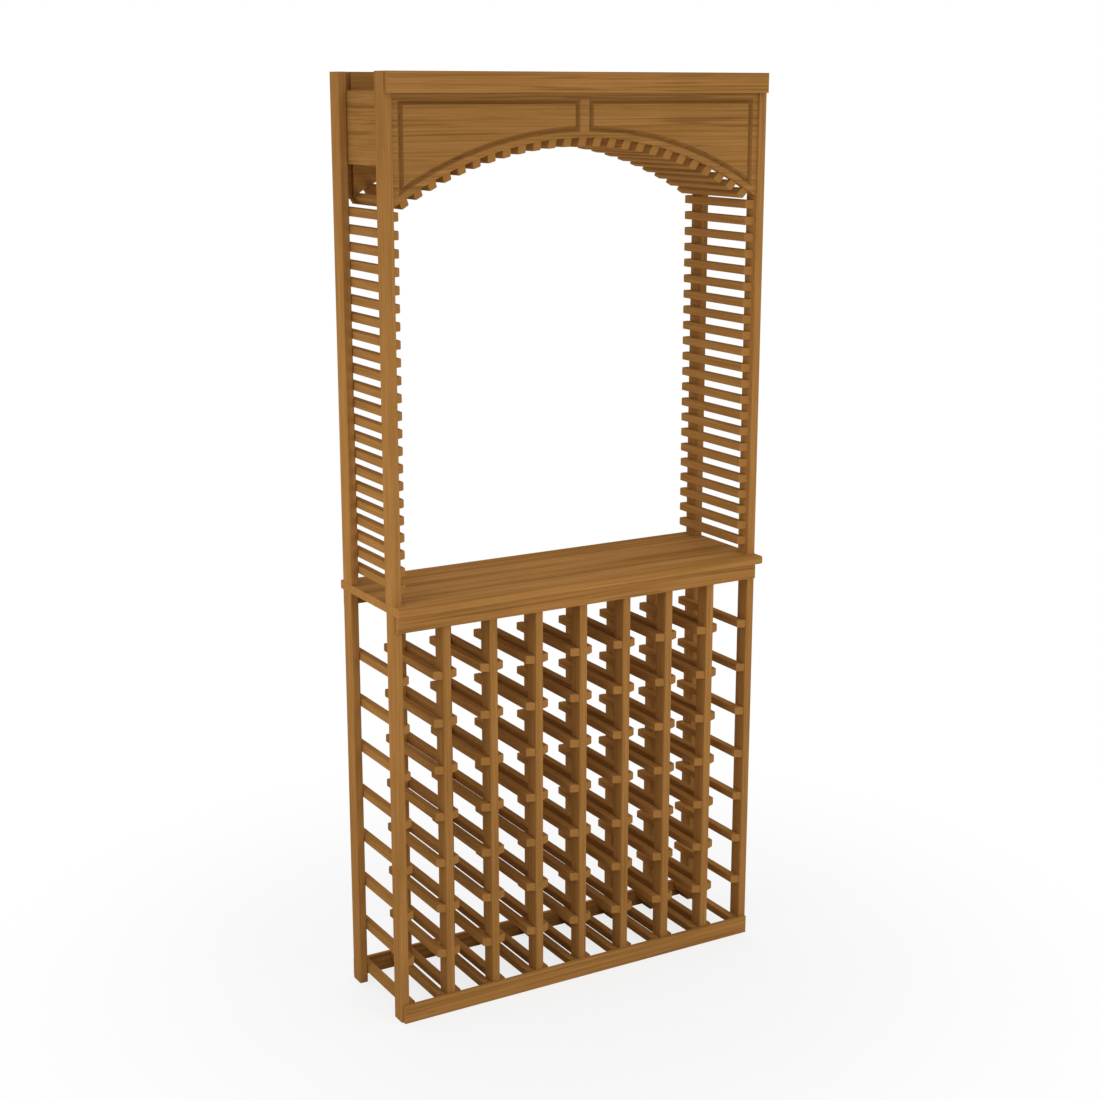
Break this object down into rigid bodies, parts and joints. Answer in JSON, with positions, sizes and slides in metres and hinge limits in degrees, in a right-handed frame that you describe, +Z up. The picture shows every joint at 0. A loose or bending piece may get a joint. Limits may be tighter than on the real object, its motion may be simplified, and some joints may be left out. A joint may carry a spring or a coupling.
{
  "type": "tasting table",
  "caption": "Free-standing wooden tasting table: a bottle rack under a tabletop, with slatted sides and an arched, battened canopy above.",
  "frame": {"origin": "on the floor, under the middle of the tabletop's outline", "axes": "+Z up, +X to the right seen from the front, the front faces -Y"},
  "size_m": [0.9358, 0.296, 2.044],
  "materials": {
    "stained_wood": "honey-brown oil stain, matt",
    "steel_brad": "bright wire",
    "dowel_wood": "bare, glued"
  },
  "bodies": {
    "root": {"ladder_1_front_post": "stained_wood", "ladder_1_rear_post": "stained_wood", "ladder_1_right_rails": "stained_wood", "ladder_2_front_post": "stained_wood", "ladder_2_rear_post": "stained_wood", "ladder_2_left_rails": "stained_wood", "ladder_2_right_rails": "stained_wood", "ladder_3_front_post": "stained_wood", "ladder_3_rear_post": "stained_wood", "ladder_3_left_rails": "stained_wood", "ladder_3_right_rails": "stained_wood", "ladder_4_front_post": "stained_wood", "ladder_4_rear_post": "stained_wood", "ladder_4_left_rails": "stained_wood", "ladder_4_right_rails": "stained_wood", "ladder_5_front_post": "stained_wood", "ladder_5_rear_post": "stained_wood", "ladder_5_left_rails": "stained_wood", "ladder_5_right_rails": "stained_wood", "ladder_6_front_post": "stained_wood", "ladder_6_rear_post": "stained_wood", "ladder_6_left_rails": "stained_wood", "ladder_6_right_rails": "stained_wood", "ladder_7_front_post": "stained_wood", "ladder_7_rear_post": "stained_wood", "ladder_7_left_rails": "stained_wood", "ladder_7_right_rails": "stained_wood", "ladder_8_front_post": "stained_wood", "ladder_8_rear_post": "stained_wood", "ladder_8_left_rails": "stained_wood", "ladder_8_right_rails": "stained_wood", "ladder_9_front_post": "stained_wood", "ladder_9_rear_post": "stained_wood", "ladder_9_left_rails": "stained_wood", "base_board_front": "stained_wood", "base_board_rear": "stained_wood", "apron_front": "stained_wood", "apron_rear": "stained_wood", "tabletop": "stained_wood", "upper_post_front_left": "stained_wood", "upper_post_front_right": "stained_wood", "upper_post_rear_left": "stained_wood", "upper_post_rear_right": "stained_wood", "left_side_slats": "stained_wood", "right_side_slats": "stained_wood", "left_side_board": "stained_wood", "right_side_board": "stained_wood", "front_valance": "stained_wood", "rear_valance": "stained_wood", "header": "stained_wood", "arch_battens": "stained_wood", "rail_brads": "steel_brad", "slat_brads": "steel_brad", "batten_brads": "steel_brad", "board_brads": "steel_brad", "header_brads": "steel_brad", "side_board_brads": "steel_brad", "post_dowels": "dowel_wood", "valance_dowels": "dowel_wood"}
  },
  "joints": []
}
